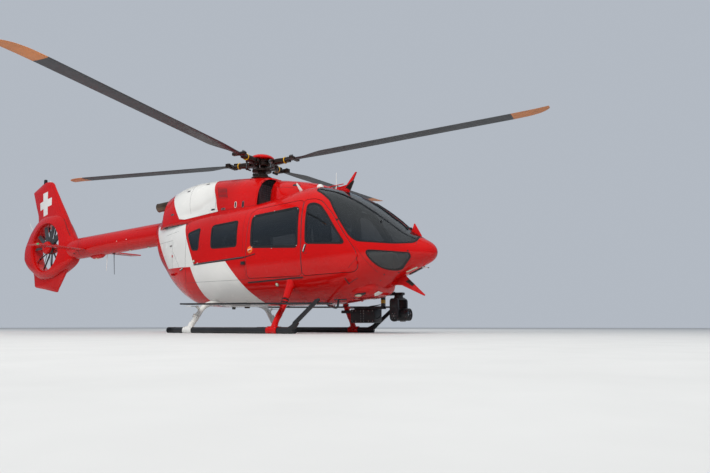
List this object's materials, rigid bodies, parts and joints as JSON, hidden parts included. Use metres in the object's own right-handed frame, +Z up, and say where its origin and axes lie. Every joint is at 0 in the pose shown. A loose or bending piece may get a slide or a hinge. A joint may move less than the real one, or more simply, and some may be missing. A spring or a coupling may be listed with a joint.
{
  "type": "helicopter",
  "caption": "Rescue helicopter with a shrouded tail fan, skid gear, swinging front doors, rear clamshell doors and a sensor turret",
  "frame": {"origin": "middle of the bounding box on the floor that the skids stand on", "axes": "+X towards the nose, +Y to the pilot's left (port), +Z up"},
  "size_m": [13.6306, 10.9612, 3.93],
  "materials": {
    "red_composite": "gloss",
    "white_composite": "gloss",
    "hull_alloy": "gloss",
    "red_steel": "gloss",
    "white_steel": "gloss",
    "black_alloy": "satin",
    "black_plastic": "matte",
    "dark_metal": "satin",
    "powerplant_metal": "matte",
    "blade_composite": "satin",
    "seat_fabric": "matte",
    "tinted_glass": "gloss"
  },
  "bodies": {
    "airframe": {"nose_cone": "red_composite", "cabin_frame": "red_composite", "cabin_roof": "red_composite", "rear_fuselage": "white_composite", "lower_hull": "hull_alloy", "nose_underside": "hull_alloy", "cross_tube_front": "red_steel", "cross_tube_rear": "white_steel", "roof_fairing": "red_composite", "engine_cowling": "white_composite", "rear_cowl": "red_composite", "powerplant": "powerplant_metal", "tail_boom": "red_composite", "tail_fin": "red_composite", "fan_stator": "red_composite", "mast_fairing": "dark_metal", "sensor_mount": "black_alloy", "foot_step": "black_alloy", "seat_right": "seat_fabric", "seat_left": "seat_fabric", "cabin_bench": "seat_fabric", "instrument_panel": "black_plastic", "sliding_door_right": "red_composite", "sliding_door_glass_right": "tinted_glass", "aft_window_right": "tinted_glass", "small_window_right": "tinted_glass", "windshield_right": "tinted_glass", "chin_window_right": "tinted_glass", "exhaust_right": "dark_metal", "stabiliser_right": "red_composite", "skid_right": "black_alloy", "step_board_right": "black_alloy", "sliding_door_left": "red_composite", "sliding_door_glass_left": "tinted_glass", "aft_window_left": "tinted_glass", "small_window_left": "tinted_glass", "windshield_left": "tinted_glass", "chin_window_left": "tinted_glass", "exhaust_left": "dark_metal", "stabiliser_left": "red_composite", "skid_left": "black_alloy", "step_board_left": "black_alloy"},
    "main_rotor": {"rotor_head": "dark_metal", "hub_dome": "red_composite", "rotor_blade_1": "blade_composite", "rotor_blade_2": "blade_composite", "rotor_blade_3": "blade_composite", "rotor_blade_4": "blade_composite"},
    "tail_fan": {"fan_rotor": "dark_metal"},
    "front_door_r": {"front_door_right": "red_composite", "front_door_glass_right": "tinted_glass"},
    "front_door_l": {"front_door_left": "red_composite", "front_door_glass_left": "tinted_glass"},
    "clamshell_r": {"clamshell_door_right": "red_composite"},
    "clamshell_l": {"clamshell_door_left": "red_composite"},
    "sensor_pan": {"sensor_yoke": "black_alloy"},
    "sensor_head": {"sensor_barrel": "black_alloy"}
  },
  "joints": [
    {"name": "main_rotor_spin", "type": "hinge", "parent": "airframe", "child": "main_rotor", "pos_m": [1.335, 0, 3.286], "axis": [0, 0, 1], "continuous": true},
    {"name": "tail_fan_spin", "type": "hinge", "parent": "airframe", "child": "tail_fan", "pos_m": [-5.735, 0, 2.09], "axis": [0, 1, 0], "continuous": true},
    {"name": "front_door_right_open", "type": "hinge", "parent": "airframe", "child": "front_door_r", "pos_m": [4.012, -0.722, 1.2], "axis": [0, 0, 1], "range_deg": [0, 80]},
    {"name": "front_door_left_open", "type": "hinge", "parent": "airframe", "child": "front_door_l", "pos_m": [4.012, 0.722, 1.2], "axis": [0, 0, -1], "range_deg": [0, 80]},
    {"name": "clamshell_right_open", "type": "hinge", "parent": "airframe", "child": "clamshell_r", "pos_m": [-0.291, -0.744, 1.3], "axis": [0, 0, 1], "range_deg": [0, 100]},
    {"name": "clamshell_left_open", "type": "hinge", "parent": "airframe", "child": "clamshell_l", "pos_m": [-0.291, 0.744, 1.3], "axis": [0, 0, -1], "range_deg": [0, 100]},
    {"name": "sensor_pan", "type": "hinge", "parent": "airframe", "child": "sensor_pan", "pos_m": [3.995, 0.668, 0.605], "axis": [0, 0, 1], "range_deg": [-170, 170]},
    {"name": "sensor_tilt", "type": "hinge", "parent": "sensor_pan", "child": "sensor_head", "pos_m": [3.995, 0.668, 0.32], "axis": [0, 1, 0], "range_deg": [-30, 100]}
  ]
}
